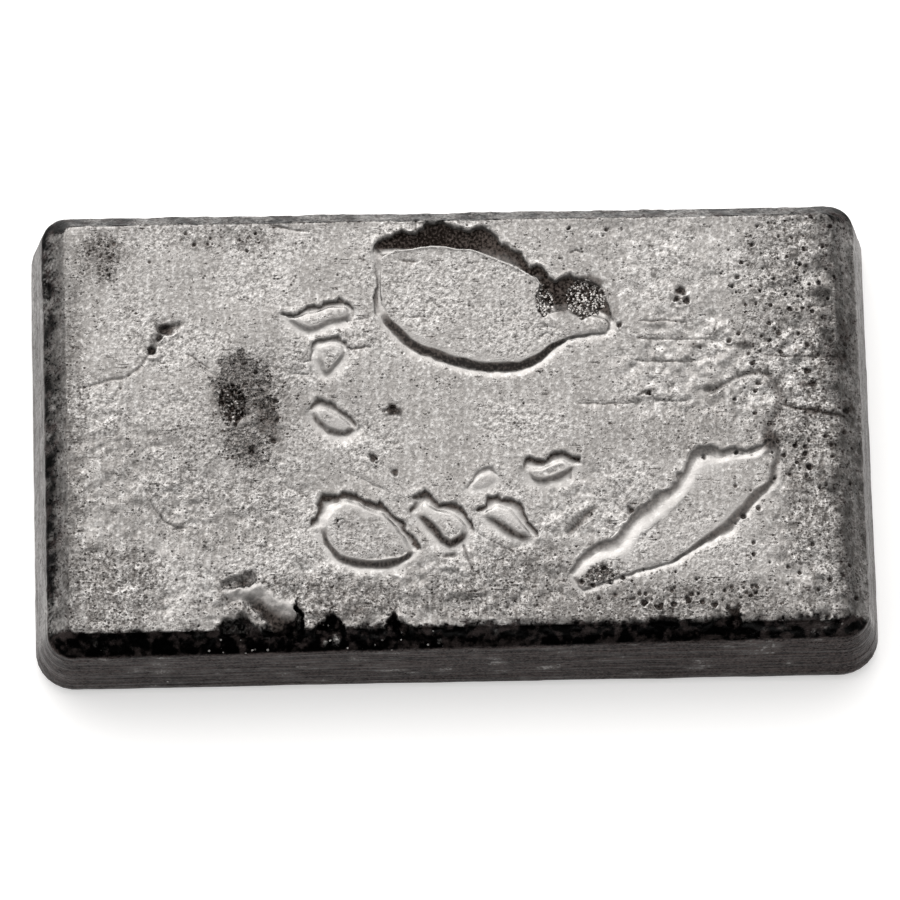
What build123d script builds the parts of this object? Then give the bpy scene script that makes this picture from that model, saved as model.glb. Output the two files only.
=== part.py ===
from build123d import *
from math import atan, degrees, pi, radians, tan
import os

# A hand-poured silver bar of about ten troy ounces, cast in one piece in an open mould.
# It lies with the poured face down and the mould face up. Millimetres. The origin is on the
# floor under the bar's middle, +X runs along its length, +Y across it and +Z up.

# Driving sizes of the mould that shaped the bar
length = 79.0              # overall, just above the poured face
width = 46.0
thickness = 9.0
wall_draft = 1.35          # how far each wall leans in on its way up to the bevel
bevel_drop = 1.7           # height of the bevel round the mould face
end_bevel = 2.1            # how far the bevel runs in at each end
side_bevel = 1.5           # how far it runs in along each side
corner_radius = 3.8        # upright corners at the poured face
face_corner_radius = 0.9   # corners of the mould face
edge_radius = 0.35         # soft cast edges above and below the bevel

# Driving sizes of the poured face, which cooled last and in the open
meniscus_radius = 1.1      # rounded edge where the melt met the mould
dish_rim = 4.0             # from the outline to the shrinkage dish
dish_depth = 1.05

# Driving sizes of the flow marks on the mould face
groove_bead = 0.55         # half the width of the eight-sided section that runs along a groove
bend_share = 0.48          # part of a straight run that the arc at each end of it may take
ring_depth = 0.42          # the moats round the two large islands
groove_depth = 0.32        # the single flow grooves
shelf_depth = 0.4          # the steps with a ragged upper edge
pit_depth = 1.3            # how far the chill pits on the front edge reach down

# Sizes that follow
wall_height = thickness - bevel_drop
draft_angle = atan(wall_draft / wall_height)
meniscus_inset = meniscus_radius * (1 / tan((pi / 2 - draft_angle) / 2) - 1)
pour_length = length + 2 * meniscus_inset      # where the walls would meet the floor
pour_width = width + 2 * meniscus_inset
shoulder_length = pour_length - 2 * wall_draft
shoulder_width = pour_width - 2 * wall_draft
shoulder_corner_radius = corner_radius - wall_draft
face_length = shoulder_length - 2 * end_bevel
face_width = shoulder_width - 2 * side_bevel

# The flow marks. Each has a middle, in shares of half the face's length and width, and traces
# in millimetres from that middle.
long_island = (0.08, 0.56)
long_island_ring = [
    (-9.4, 5.4), (-3.2, 6.6), (4.2, 3.8), (11.4, -1.6), (5.6, -4.4), (1.2, -6.6), (-4.6, -5.5),
    (-9.4, -2.3), (-10.6, 1.8),
]
long_island_shelf = (
    [(-10.2, 5.5), (-8.2, 7.5), (-4.8, 8.3), (-1.5, 8.0), (1.7, 6.9), (4.0, 5.0), (6.9, 1.9)],
    [(-10.2, 5.5), (-8.2, 5.9), (-4.7, 6.5), (-0.1, 5.6), (3.8, 3.9), (6.9, 1.9)],
)
front_island = (-0.23, -0.54)
front_island_ring = [
    (-3.4, 2.7), (-0.4, 3.0), (2.2, 1.2), (4.0, -1.8), (1.8, -3.3), (-2.4, -2.9), (-4.1, -0.4),
]
front_island_shelf = (
    [(-4.2, -0.1), (-5.0, 1.5), (-4.2, 3.7), (-2.1, 4.1), (0.4, 3.3), (2.0, 2.7), (4.0, -0.1)],
    [(-4.2, -0.1), (-3.6, 2.3), (-2.0, 3.1), (1.2, 2.0), (4.0, -0.1)],
)
end_pool = (0.59, -0.45)
end_pool_shelf = (
    [(7.1, 6.4), (3.3, 6.3), (0.8, 6.2), (-1.6, 2.6), (-3.9, 0.0), (-6.5, -1.4), (-9.5, -3.6)],
    [(7.1, 6.4), (3.5, 5.3), (1.5, 4.9), (-0.3, 1.8), (-2.9, -0.8), (-5.9, -3.0), (-9.5, -3.6)],
)
end_pool_groove = [(8.3, 6.2), (8.9, 3.4), (5.6, 0.2), (0.5, -4.3), (-6.9, -6.8)]

# Small laps: middle, shelf as upper and lower trace, and the groove below it
laps = [
    (
        (-0.03, -0.48),
        ([(-2.9, 1.2), (-1.7, 3.0), (0.0, 1.9), (1.6, 1.8), (2.8, -0.8)],
         [(-2.9, 1.2), (-0.6, 1.5), (1.6, 1.2), (2.8, -0.8)]),
        [(-2.2, 0.6), (-1.0, -0.8), (0.5, -2.0), (1.8, -1.2)],
    ),
    (
        (0.12, -0.46),
        ([(-2.5, 0.4), (-1.0, 2.0), (1.3, 1.7), (2.9, -1.5)],
         [(-2.5, 0.4), (-0.8, 1.1), (1.0, 0.7), (2.9, -1.5)]),
        [(-1.3, 0.0), (0.0, -1.2), (1.4, -2.0)],
    ),
    (
        (0.25, -0.23),
        ([(-2.6, 0.8), (-1.2, 0.5), (0.2, 1.5), (2.5, 0.7)],
         [(-2.6, 0.8), (-1.0, -0.1), (0.6, 0.6), (2.5, 0.7)]),
        [(-2.0, -0.8), (-0.3, -1.5), (1.4, -0.8)],
    ),
    (
        (-0.31, 0.03),
        ([(-2.6, 0.2), (-1.2, 2.0), (0.8, 1.3), (2.5, -0.8)],
         [(-2.6, 0.2), (-1.0, 1.1), (0.8, 0.4), (2.5, -0.8)]),
        [(-1.6, -0.2), (-0.6, -1.2), (1.2, -1.7)],
    ),
    (
        (-0.34, 0.56),
        ([(-3.6, 0.1), (-1.5, 0.5), (1.4, 1.5), (3.3, 0.4)],
         [(-3.6, 0.1), (-1.8, -0.4), (1.0, 0.6), (3.3, 0.4)]),
        [(-1.9, -1.8), (-0.4, -1.5), (1.1, -0.9)],
    ),
    (
        (-0.30, 0.37),
        ([(-2.4, 0.2), (-0.6, 1.4), (1.1, 1.2), (3.1, -0.1)],
         [(-2.4, 0.2), (-0.6, 0.6), (1.1, 0.4), (3.1, -0.1)]),
        [(-1.3, -0.8), (-0.6, -2.1), (0.9, -0.8)],
    ),
]

# Chill pits that join up along the front edge: place in shares of half the face's length, how
# far the bubble's middle lies in from the wall, and its radius
edge_pits = [
    (-0.60, 1.1, 1.3), (-0.53, 1.8, 1.7), (-0.46, 1.9, 1.7), (-0.41, 1.3, 1.2),
    (-0.33, 1.5, 1.4), (-0.14, 1.0, 1.3),
]


def shifted(trace, middle):
    """Moves a trace from its own middle to that middle's place on the mould face."""
    x0 = middle[0] * face_length / 2
    y0 = middle[1] * face_width / 2
    return [(x0 + x, y0 + y) for x, y in trace]


def bend_radii(points, closed):
    """The largest arc that each corner of a path has room for."""
    count = len(points)
    corners = range(count) if closed else range(1, count - 1)
    radii = []
    for i in corners:
        before = Vector(*points[i]) - Vector(*points[i - 1])
        after = Vector(*points[(i + 1) % count]) - Vector(*points[i])
        half_turn = radians(before.get_angle(after)) / 2
        radii.append(bend_share * min(before.length, after.length) / tan(half_turn))
    return radii


def groove(trace, middle, depth, closed=False):
    """A groove with a narrow flat bottom that runs along a trace."""
    points = shifted(trace, middle)
    with BuildPart() as cut:
        with BuildLine(Plane.XY.offset(thickness + groove_bead - depth)) as run:
            FilletPolyline(*points, radius=bend_radii(points, closed), close=closed)
        with BuildSketch(run.line ^ 0):
            RegularPolygon(groove_bead, 8, major_radius=False, rotation=22.5)
        sweep()
    return cut.part


def shelf(edges, middle):
    """A crescent step between its ragged upper edge and its smooth lower edge."""
    upper, lower = edges
    with BuildPart() as cut:
        with BuildSketch(Plane.XY.offset(thickness)):
            with BuildLine():
                Spline(*shifted(upper, middle))
                Spline(*shifted(lower, middle))
            make_face()
        extrude(amount=shelf_depth, both=True)
    return cut.part


# The dish is an arc across the bar, turned about a far axis so that it also curves along it.
dish_length = length - 2 * dish_rim
dish_width = width - 2 * dish_rim
arc_along = (dish_length ** 2 / 4 + dish_depth ** 2) / (2 * dish_depth)
with BuildPart() as dish:
    with BuildSketch(Plane.YZ):
        with BuildLine():
            ThreePointArc((-dish_width / 2, 0), (0, dish_depth), (dish_width / 2, 0))
            Polyline(
                (dish_width / 2, 0), (dish_width / 2, -thickness),
                (-dish_width / 2, -thickness), (-dish_width / 2, 0),
            )
        make_face()
    far_axis = Axis((0, 0, dish_depth - arc_along), (0, 1, 0))
    revolve(axis=far_axis, revolution_arc=degrees(length / 2 / arc_along))
    mirror(about=Plane.YZ)

grooves = [
    groove(long_island_ring, long_island, ring_depth, closed=True),
    groove(front_island_ring, front_island, ring_depth, closed=True),
    groove(end_pool_groove, end_pool, groove_depth),
]
shelves = [
    shelf(long_island_shelf, long_island),
    shelf(front_island_shelf, front_island),
    shelf(end_pool_shelf, end_pool),
]
for middle, lap_shelf, lap_groove in laps:
    shelves.append(shelf(lap_shelf, middle))
    grooves.append(groove(lap_groove, middle, groove_depth))

with BuildPart() as ingot:
    # Drafted walls up to the shoulder
    with BuildSketch():
        RectangleRounded(pour_length, pour_width, corner_radius)
    extrude(amount=wall_height, taper=degrees(draft_angle))
    # Bevel up to the mould face
    with BuildSketch(Plane.XY.offset(wall_height)):
        RectangleRounded(shoulder_length, shoulder_width, shoulder_corner_radius)
    with BuildSketch(Plane.XY.offset(thickness)):
        RectangleRounded(face_length, face_width, face_corner_radius)
    loft()
    levels = ingot.edges().group_by(Axis.Z)
    fillet(levels[-1], edge_radius)
    poured_edges = ingot.faces().sort_by(Axis.Z)[0].edges()
    fillet(poured_edges, meniscus_radius)
    add(dish, mode=Mode.SUBTRACT)
    add(grooves, mode=Mode.SUBTRACT)
    add(shelves, mode=Mode.SUBTRACT)
    for share, inset, radius in edge_pits:
        spot = (share * face_length / 2, inset - shoulder_width / 2, thickness + radius - pit_depth)
        with Locations(spot):
            Sphere(radius, mode=Mode.SUBTRACT)

ingot.part.label = "ingot"
os.makedirs("parts", exist_ok=True)
export_step(ingot.part, "parts/ingot.step")
print("volume", round(ingot.part.volume), "mm3, solids", len(ingot.part.solids()))
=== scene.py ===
import bpy
from itertools import product

import numpy as np
from mathutils import Matrix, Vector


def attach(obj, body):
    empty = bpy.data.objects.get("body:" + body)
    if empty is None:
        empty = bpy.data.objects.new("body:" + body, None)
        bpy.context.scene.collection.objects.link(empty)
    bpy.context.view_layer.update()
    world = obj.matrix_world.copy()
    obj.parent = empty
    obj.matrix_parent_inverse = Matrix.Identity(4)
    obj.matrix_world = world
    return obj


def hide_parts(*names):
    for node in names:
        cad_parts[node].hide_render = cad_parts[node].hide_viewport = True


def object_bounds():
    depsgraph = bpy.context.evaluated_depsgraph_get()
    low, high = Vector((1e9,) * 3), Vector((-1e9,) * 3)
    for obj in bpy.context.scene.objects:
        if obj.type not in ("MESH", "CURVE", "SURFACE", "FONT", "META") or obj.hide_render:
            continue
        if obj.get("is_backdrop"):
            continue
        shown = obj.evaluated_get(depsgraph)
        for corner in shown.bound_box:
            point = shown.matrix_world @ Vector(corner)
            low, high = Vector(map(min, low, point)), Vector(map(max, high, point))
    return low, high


# The looks of a poured silver bar that lies with its mould face up: one fine mesh with relief,
# tarnish, soot, and painted shade and highlights. Lengths are in millimetres until the mesh is made.
# The frame is the CAD's: origin on the floor under the bar's middle, +X along it, +Y to the back, +Z
# up.
MM = 0.001

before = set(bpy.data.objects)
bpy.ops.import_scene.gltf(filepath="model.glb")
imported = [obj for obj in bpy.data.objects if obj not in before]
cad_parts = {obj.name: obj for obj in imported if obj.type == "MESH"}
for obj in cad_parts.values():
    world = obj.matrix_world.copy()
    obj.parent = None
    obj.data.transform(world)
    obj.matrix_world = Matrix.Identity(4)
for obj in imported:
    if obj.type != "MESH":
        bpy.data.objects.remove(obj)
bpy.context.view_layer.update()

# Sizes of the bar
LENGTH, WIDTH = 79.444, 46.444   # where the walls would meet the floor
THICKNESS = 9.0
WALL_DRAFT = 1.35                # how far the walls lean in
BEVEL_DROP = 1.7
SHOULDER = THICKNESS - BEVEL_DROP
END_BEVEL, SIDE_BEVEL = 2.1, 1.5
BASE_CORNER, SHOULDER_CORNER, FACE_CORNER = 3.8, 2.45, 0.9
EDGE_RADIUS = 0.35
MENISCUS_RADIUS = 1.1            # rounded edge of the poured face
RIM = 4.0                        # from the outline to the poured face's dish
DISH_DEPTH = 1.05
BEVEL_SKEW = 0.36                # how far the front shoulder swings from end to end

# The mesh: cells across the mould face, rows down the sides, and how much coarser it gets there
CELLS_LONG, CELLS_WIDE = 720, 400
EDGE_ROWS, BEVEL_ROWS, WALL_ROWS, MENISCUS_ROWS, RIM_ROWS = 4, 22, 58, 8, 8
WALL_STEP, UNDER_STEP = 2, 4
MOST_TRIANGLES = 196000

# The melted pools and laps: the moat's outer edge, the edge of the island inside it, and then
# - at the back: the cliff's depth, the shares of the moat's width where the cliff ends and where
#   the far flank starts, and the height of the lip outside it
# - at the front: the step's depth, its share of the moat's width, how far the ground takes to
#   rise again beyond it, and how crisp it is, from 0 to 1
# - how dark the painted shade is at the front and at the back
POOLS = {
    "long": ([
        (-7.1, 18.1), (-6.6, 18.6), (-6.1, 18.9), (-5.5, 19.0), (-5.1, 19.3), (-4.4, 19.6),
        (-4.0, 19.4), (-3.3, 19.3), (-3.0, 19.6), (-2.5, 19.8), (-2.1, 20.3), (-1.2, 20.4),
        (-0.3, 20.3), (0.5, 19.9), (1.0, 19.8), (1.9, 19.5), (3.0, 19.8), (3.7, 19.8), (4.1, 19.2),
        (4.8, 18.5), (5.0, 18.0), (5.5, 18.0), (6.0, 17.5), (6.5, 17.2), (7.0, 17.0), (7.1, 16.4),
        (7.5, 15.7), (8.2, 15.8), (8.6, 15.7), (9.1, 15.3), (9.4, 14.6), (10.0, 14.1), (11.0, 14.8),
        (11.4, 15.0), (12.0, 14.4), (13.2, 14.3), (14.0, 13.7), (14.6, 12.8), (15.0, 11.5),
        (15.4, 10.2), (15.2, 9.0), (14.5, 8.6), (12.9, 8.3), (11.1, 8.0), (10.1, 7.2), (9.0, 5.7),
        (7.7, 4.7), (6.0, 4.3), (3.3, 4.3), (1.3, 4.6), (-0.6, 5.2), (-2.3, 5.9), (-4.1, 6.7),
        (-5.4, 7.8), (-6.8, 9.3), (-7.3, 10.8), (-7.2, 12.2), (-7.0, 13.5), (-6.95, 15.0), (-7.0, 16.3),
        (-7.2, 17.3),
    ], [
        (-6.6, 16.6), (-6.1, 17.0), (-5.0, 17.5), (-3.8, 17.6), (-2.3, 17.7), (-1.7, 17.8),
        (-0.3, 17.7), (0.4, 17.5), (1.4, 17.4), (2.0, 17.4), (2.9, 17.0), (3.8, 16.7), (5.0, 16.2),
        (5.8, 15.8), (6.7, 15.3), (7.3, 15.0), (8.1, 14.5), (8.5, 13.8), (8.2, 12.7), (8.3, 11.6),
        (8.9, 10.5), (9.7, 10.7), (10.5, 10.9), (11.4, 10.5), (12.5, 10.3), (13.7, 10.2), (14.4, 10.2),
        (14.7, 9.6), (14.4, 8.9), (13.0, 8.7), (11.3, 8.6), (10.0, 8.1), (9.3, 7.8), (8.2, 7.0),
        (7.2, 6.6), (6.2, 6.1), (5.2, 6.1), (3.4, 6.1), (2.2, 6.3), (0.5, 6.8), (-0.9, 7.3),
        (-2.6, 7.9), (-3.8, 8.7), (-4.7, 9.7), (-5.6, 10.6), (-6.3, 12.1), (-6.4, 13.5), (-6.5, 15.0),
        (-6.5, 16.0),
    ], 0.45, 0.1, 0.95, 0.05, 0.22, 0.62, 0.8, 1.0, 0.94, 1.0),
    "front": ([
        (-13.9, -9.7), (-13.0, -8.6), (-13.1, -8.0), (-12.7, -6.9), (-12.0, -6.8), (-11.2, -7.0),
        (-10.9, -6.8), (-10.5, -6.6), (-9.8, -6.8), (-9.2, -6.9), (-8.9, -7.3), (-8.0, -7.7),
        (-7.4, -7.9), (-7.0, -7.6), (-6.6, -8.1), (-6.1, -8.8), (-5.5, -9.6), (-4.9, -9.8),
        (-4.6, -10.2), (-4.7, -10.8), (-4.0, -11.3), (-3.3, -12.2), (-3.1, -12.9), (-3.7, -13.7),
        (-4.7, -14.7), (-5.7, -15.4), (-6.9, -15.7), (-8.6, -15.5), (-10.2, -15.2), (-11.4, -14.6),
        (-12.3, -13.7), (-12.9, -12.5), (-13.5, -11.3), (-13.9, -10.5),
    ], [
        (-12.0, -9.6), (-11.3, -8.7), (-10.3, -8.0), (-9.2, -8.3), (-8.1, -8.9), (-6.9, -9.4),
        (-6.1, -10.3), (-5.4, -11.3), (-5.0, -12.3), (-4.8, -12.9), (-5.6, -13.3), (-7.0, -13.5),
        (-8.6, -13.5), (-9.9, -13.3), (-10.9, -12.9), (-11.5, -12.2), (-12.0, -11.1),
    ], 0.3, 0.12, 0.52, 0.03, 0.21, 0.48, 1.0, 0.5, 0.95, 1.0),
    "lap_c": ([
        (-4.5, -8.7), (-3.9, -8.2), (-4.2, -7.3), (-3.5, -6.9), (-2.9, -6.6), (-2.3, -7.0),
        (-1.5, -8.0), (0.2, -7.9), (0.7, -8.5), (1.1, -9.4), (1.5, -9.8), (1.8, -10.8), (1.6, -11.9),
        (0.8, -12.8), (-0.8, -13.5), (-2.2, -12.6), (-3.3, -11.1), (-4.2, -9.9),
    ], [
        (-3.0, -8.4), (-1.9, -9.0), (-0.8, -9.3), (0.1, -9.8), (0.5, -10.4), (0.1, -11.1),
        (-0.6, -11.5), (-1.1, -11.2), (-1.9, -10.1), (-2.8, -9.1),
    ], 0.28, 0.14, 0.56, 0.03, 0.2, 0.58, 1.1, 0.15, 1.15, 1.0),
    "lap_d": ([
        (1.6, -8.8), (2.2, -8.4), (2.8, -8.3), (2.9, -7.4), (4.0, -7.2), (4.4, -7.6), (5.6, -7.8),
        (6.3, -8.3), (6.6, -9.2), (6.9, -10.1), (7.6, -10.9), (7.7, -11.9), (7.0, -13.0), (5.7, -13.1),
        (4.3, -12.5), (3.1, -11.5), (2.2, -10.3),
    ], [
        (3.0, -9.0), (3.9, -8.7), (4.8, -9.1), (5.5, -10.0), (6.4, -11.1), (5.8, -10.9), (5.0, -10.3),
        (4.2, -9.6), (3.3, -9.2),
    ], 0.26, 0.14, 0.58, 0.03, 0.18, 0.5, 1.2, 0.0, 1.1, 1.0),
    "lap_e": ([
        (6.5, -3.7), (6.9, -3.5), (7.7, -3.8), (8.3, -3.8), (8.7, -3.3), (9.4, -3.0), (10.4, -3.0),
        (11.1, -3.5), (11.8, -3.5), (12.1, -4.3), (11.5, -5.4), (10.3, -6.5), (8.9, -7.1), (7.6, -7.2),
        (6.8, -6.5), (6.3, -5.1),
    ], [
        (7.3, -5.0), (8.2, -5.0), (9.0, -4.7), (10.0, -4.3), (10.4, -4.7), (9.9, -5.0), (9.1, -5.4),
        (8.2, -5.5), (7.5, -5.4),
    ], 0.24, 0.14, 0.54, 0.03, 0.15, 0.55, 1.2, 0.0, 0.85, 1.0),
    "lap_h": ([
        (0.7, -6.8), (1.3, -6.3), (1.5, -5.7), (2.1, -4.7), (3.3, -4.4), (3.8, -4.6), (4.1, -5.4),
        (3.9, -6.3), (3.0, -6.9), (1.7, -7.2),
    ], [
        (1.7, -6.4), (2.3, -5.7), (3.2, -5.4), (3.5, -5.8), (3.0, -6.1), (2.2, -6.4),
    ], 0.1, 0.2, 0.44, 0.02, 0.05, 0.6, 0.9, 0.0, 0.3, 0.6),
    "back_left": ([
        (-16.0, 11.4), (-15.7, 11.5), (-15.3, 11.2), (-14.7, 11.3), (-14.2, 11.6), (-13.8, 11.9),
        (-12.8, 12.1), (-12.3, 12.0), (-11.9, 12.4), (-11.2, 12.5), (-10.8, 12.5), (-10.4, 12.8),
        (-9.9, 12.5), (-9.4, 12.3), (-9.0, 11.7), (-9.1, 10.7), (-9.9, 9.9), (-11.0, 9.6),
        (-12.3, 9.1), (-13.5, 8.7), (-14.4, 9.2), (-15.1, 10.0), (-15.8, 10.8),
    ], [
        (-15.1, 10.6), (-14.3, 10.7), (-13.7, 11.0), (-13.1, 11.1), (-12.1, 11.3), (-11.0, 11.7),
        (-9.9, 11.6), (-10.1, 10.9), (-11.1, 10.8), (-12.1, 10.4), (-13.2, 10.0), (-14.2, 10.3),
    ], 0.24, 0.14, 0.54, 0.03, 0.13, 0.6, 1.0, 0.0, 0.7, 0.9),
    "wedge": ([
        (-13.2, 8.2), (-12.5, 8.6), (-11.7, 8.8), (-11.0, 8.9), (-10.7, 9.0), (-10.3, 8.8),
        (-10.2, 8.5), (-9.8, 8.2), (-9.7, 7.8), (-9.6, 7.2), (-10.2, 6.2), (-10.7, 5.3), (-11.3, 4.3),
        (-12.1, 4.4), (-12.8, 5.3), (-13.3, 6.5), (-13.3, 7.5),
    ], [
        (-12.4, 7.6), (-11.4, 7.9), (-10.5, 7.7), (-10.6, 7.0), (-11.3, 6.1), (-11.8, 5.6),
        (-12.0, 6.5), (-12.2, 7.2),
    ], 0.2, 0.14, 0.46, 0.03, 0.13, 0.6, 1.0, 0.0, 0.7, 0.85),
    "lap_f": ([
        (-13.7, 1.6), (-13.2, 2.4), (-12.7, 2.7), (-11.6, 2.3), (-10.4, 1.5), (-9.2, 0.3),
        (-9.1, -0.6), (-10.1, -1.4), (-11.4, -1.3), (-12.6, -0.5), (-13.4, 0.5),
    ], [
        (-12.8, 1.3), (-12.1, 1.4), (-10.8, 0.6), (-10.0, -0.2), (-10.4, -0.5), (-11.6, -0.2),
        (-12.6, 0.8),
    ], 0.22, 0.14, 0.5, 0.03, 0.18, 0.85, 1.2, 0.0, 0.95, 0.9),
    "end": ([
        (28.3, -2.8), (27.2, -3.3), (26.2, -2.9), (25.0, -3.2), (24.3, -2.7), (22.6, -2.7),
        (22.0, -3.5), (21.6, -4.6), (21.3, -5.4), (20.5, -5.4), (20.6, -6.3), (19.9, -6.9),
        (18.5, -7.3), (18.1, -8.1), (17.2, -8.4), (16.4, -9.3), (15.7, -10.2), (15.0, -11.3),
        (14.3, -12.0), (13.0, -12.3), (12.0, -13.0), (11.0, -14.1), (10.1, -15.4), (10.8, -16.7),
        (11.6, -17.2), (13.2, -16.8), (15.4, -15.9), (17.0, -15.5), (18.6, -15.0), (20.6, -14.5),
        (21.9, -13.7), (23.3, -13.1), (24.7, -12.6), (26.0, -12.2), (27.2, -10.6), (28.5, -9.1),
        (29.8, -7.8), (30.6, -6.4), (30.8, -4.6), (30.4, -2.7), (29.4, -2.1),
    ], [
        (28.3, -4.1), (26.2, -4.4), (25.0, -4.6), (23.9, -4.8), (22.8, -5.2), (22.5, -6.2),
        (21.7, -7.5), (20.6, -8.6), (19.4, -9.8), (18.4, -10.5), (17.1, -11.6), (16.5, -12.7),
        (15.9, -13.7), (13.3, -14.0), (12.1, -14.8), (11.3, -15.8), (11.7, -16.6), (12.8, -16.4),
        (15.1, -15.5), (18.1, -14.7), (19.9, -14.1), (21.3, -13.3), (22.3, -12.3), (23.7, -11.3),
        (24.4, -10.7), (25.7, -9.6), (26.7, -8.5), (27.9, -7.1), (29.2, -6.4), (29.6, -5.3),
        (29.8, -4.3), (29.5, -3.1),
    ], 0.18, 0.12, 0.5, 0.03, 0.16, 0.6, 0.6, 0.7, 0.85, 0.72),
}

# Creases, cracks and scratches: points, half width, depth (a ridge's is negative), how dark
CREASES = [
    ([(-4.5, 16.4), (-3.0, 16.3)], 0.1, 0.06, 0.8),
    ([(-2.2, 12.1), (-1.8, 12.5), (-1.5, 12.1)], 0.12, 0.08, 0.6),
    ([(-3.9, 10.7), (-2.4, 10.7)], 0.07, 0.05, 0.6),
    ([(8.4, 9.3), (9.0, 9.6), (9.7, 9.3)], 0.09, 0.07, 0.6),
    ([(8.3, 8.5), (9.0, 8.9), (9.7, 8.5)], 0.09, 0.07, 0.6),
    ([(5.8, 10.8), (6.4, 10.8)], 0.07, 0.05, 0.5),
    ([(11.5, 16.9), (12.0, 17.2), (12.5, 16.9)], 0.1, 0.08, 0.7),
    ([(-3.0, 20.6), (-3.1, 19.5)], 0.07, 0.1, 0.8),
    ([(-14.9, 5.1), (-13.6, 5.1)], 0.08, 0.07, 0.7),
    ([(-9.9, 10.5), (-9.4, 10.5)], 0.08, 0.07, 0.7),
    ([(-9.0, 10.5), (-7.8, 10.6)], 0.08, 0.07, 0.7),
    ([(-13.1, 7.5), (-13.3, 6.5), (-13.9, 6.3)], 0.09, 0.09, 0.7),
    ([(-9.7, 7.8), (-9.3, 7.5), (-8.5, 7.6), (-8.2, 7.8), (-7.7, 7.7)], 0.1, 0.1, 0.8),
    ([(-10.1, -4.9), (-8.4, -5.7), (-6.4, -6.8)], 0.06, 0.05, 0.5),
    ([(0.6, -12.3), (0.9, -13.4), (1.4, -14.9)], 0.12, 0.1, 0.8),
    ([(-1.2, -13.3), (-0.2, -13.2)], 0.2, 0.14, 0.8),
    ([(2.0, -11.2), (3.5, -12.1), (5.3, -13.1)], 0.07, 0.06, 0.5),
    ([(10.8, -4.9), (10.8, -5.8)], 0.1, 0.08, 0.7),
    ([(-9.2, 11.7), (-9.2, 10.9)], 0.08, 0.07, 0.6),
    ([(-34.8, 4.1), (-33.2, 4.5), (-32.0, 4.9), (-30.6, 5.1), (-29.2, 6.2), (-28.2, 7.7)],
     0.12, 0.09, 0.5),
    ([(-28.2, 7.7), (-27.6, 9.2), (-26.8, 10.0), (-25.6, 10.3)], 0.3, 0.2, 0.7),
    ([(-29.0, -6.2), (-28.4, -7.9), (-27.2, -9.4), (-26.3, -10.0), (-25.2, -10.1)], 0.1, 0.07, 0.5),
    ([(17.9, 9.9), (19.9, 9.9), (21.9, 9.8)], 0.08, 0.07, 0.7),
    ([(17.5, 8.2), (20.6, 8.0), (24.2, 8.0)], 0.08, 0.07, 0.7),
    ([(16.9, 6.0), (19.5, 5.8), (23.1, 5.8)], 0.08, 0.07, 0.7),
    ([(11.9, 1.7), (14.4, 1.6), (17.1, 1.7)], 0.07, 0.06, 0.6),
    ([(29.4, 6.3), (32.5, 6.1), (36.2, 5.9)], 0.09, 0.07, 0.7),
    ([(33.1, 11.0), (35.9, 11.3)], 0.08, 0.06, 0.6),
    ([(23.8, 3.0), (24.6, 2.8), (25.5, 3.4), (26.5, 4.0), (27.5, 4.5), (28.9, 4.6), (29.9, 4.2)],
     0.22, 0.16, 0.7),
    ([(29.9, 4.2), (30.3, 3.2), (30.8, 2.0), (30.6, 0.6), (29.8, -0.3), (29.4, -1.5)],
     0.45, 0.16, 0.62),
    ([(31.0, 1.3), (32.2, 0.8), (34.0, 0.5), (36.6, 0.1)], 0.15, 0.12, 0.85),
    ([(17.3, 2.3), (18.3, 2.9), (19.0, 1.9), (21.9, 1.8)], 0.1, 0.08, 0.6),
    ([(-16.4, -5.6), (-13.9, -7.2)], 0.06, 0.05, 0.5),
    ([(9.4, -17.0), (10.5, -18.0)], 0.07, 0.06, 0.5),
    ([(-24.3, 6.6), (-22.4, 5.2)], 0.07, 0.06, 0.5),
    ([(-16.8, 20.2), (-15.4, 19.9), (-13.5, 19.5)], 0.09, 0.08, 0.6),
    ([(10.5, -11.1), (11.5, -10.1), (12.7, -9.0)], 0.32, 0.22, 0.8),
    ([(-20.4, 2.2), (-19.6, 1.7), (-18.5, 1.2)], 0.1, -0.06, 0.0),
    ([(-24.9, 7.3), (-23.8, 6.6), (-22.8, 5.8)], 0.08, 0.07, 0.8),
    ([(30.4, -2.0), (30.3, -4.1), (29.8, -5.2), (29.6, -6.6)], 0.34, 0.14, 0.75),
]

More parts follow.
